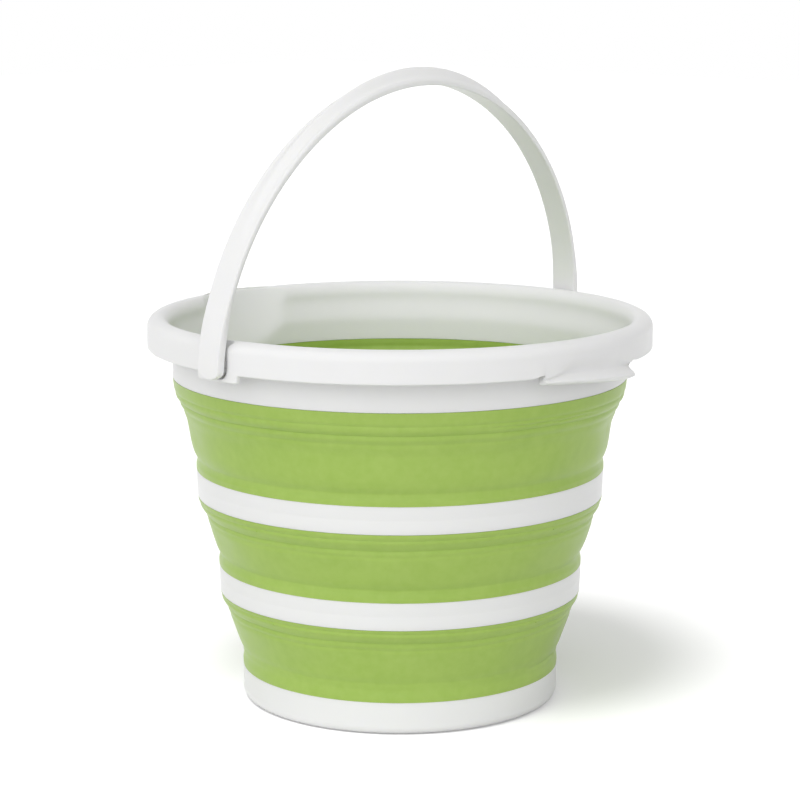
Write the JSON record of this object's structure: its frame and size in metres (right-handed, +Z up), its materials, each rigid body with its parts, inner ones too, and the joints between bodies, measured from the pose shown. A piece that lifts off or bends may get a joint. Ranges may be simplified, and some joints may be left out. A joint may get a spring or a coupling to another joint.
{
  "type": "collapsible bucket",
  "caption": "Round collapsible camp bucket of stiff white rings joined by soft green folding membranes, with a rolled rim, pouring spout, grip lip and swinging bail handle.",
  "frame": {"origin": "centre of the foot ring, on the surface that the open bucket stands on", "axes": "+Z up through the mouth; the handle's pivot axis runs along X; the pouring grip faces -Y and the spout faces +Y"},
  "size_m": [0.334, 0.3194, 0.4032],
  "materials": {
    "white_plastic": "satin moulded polypropylene",
    "green_rubber": "soft satin thermoplastic rubber"
  },
  "bodies": {
    "base": {"base_cup": "white_plastic", "lower_membrane": "green_rubber"},
    "lower_band": {"lower_band": "white_plastic", "middle_membrane": "green_rubber"},
    "upper_band": {"upper_band": "white_plastic", "upper_membrane": "green_rubber"},
    "rim": {"rim": "white_plastic"},
    "handle": {"handle": "white_plastic"}
  },
  "joints": [
    {"name": "lower_fold", "type": "slide", "parent": "base", "child": "lower_band", "axis": [0, 0, 1], "range_m": [-0.064, 0], "deforming": ["lower_membrane"]},
    {"name": "middle_fold", "type": "slide", "parent": "lower_band", "child": "upper_band", "axis": [0, 0, 1], "range_m": [-0.062, 0], "deforming": ["middle_membrane"]},
    {"name": "upper_fold", "type": "slide", "parent": "upper_band", "child": "rim", "axis": [0, 0, 1], "range_m": [-0.068, 0], "deforming": ["upper_membrane"]},
    {"name": "handle_swing", "type": "hinge", "parent": "rim", "child": "handle", "pos_m": [0, 0, 0.231], "axis": [1, 0, 0], "range_deg": [-94.9, 85.1]}
  ]
}
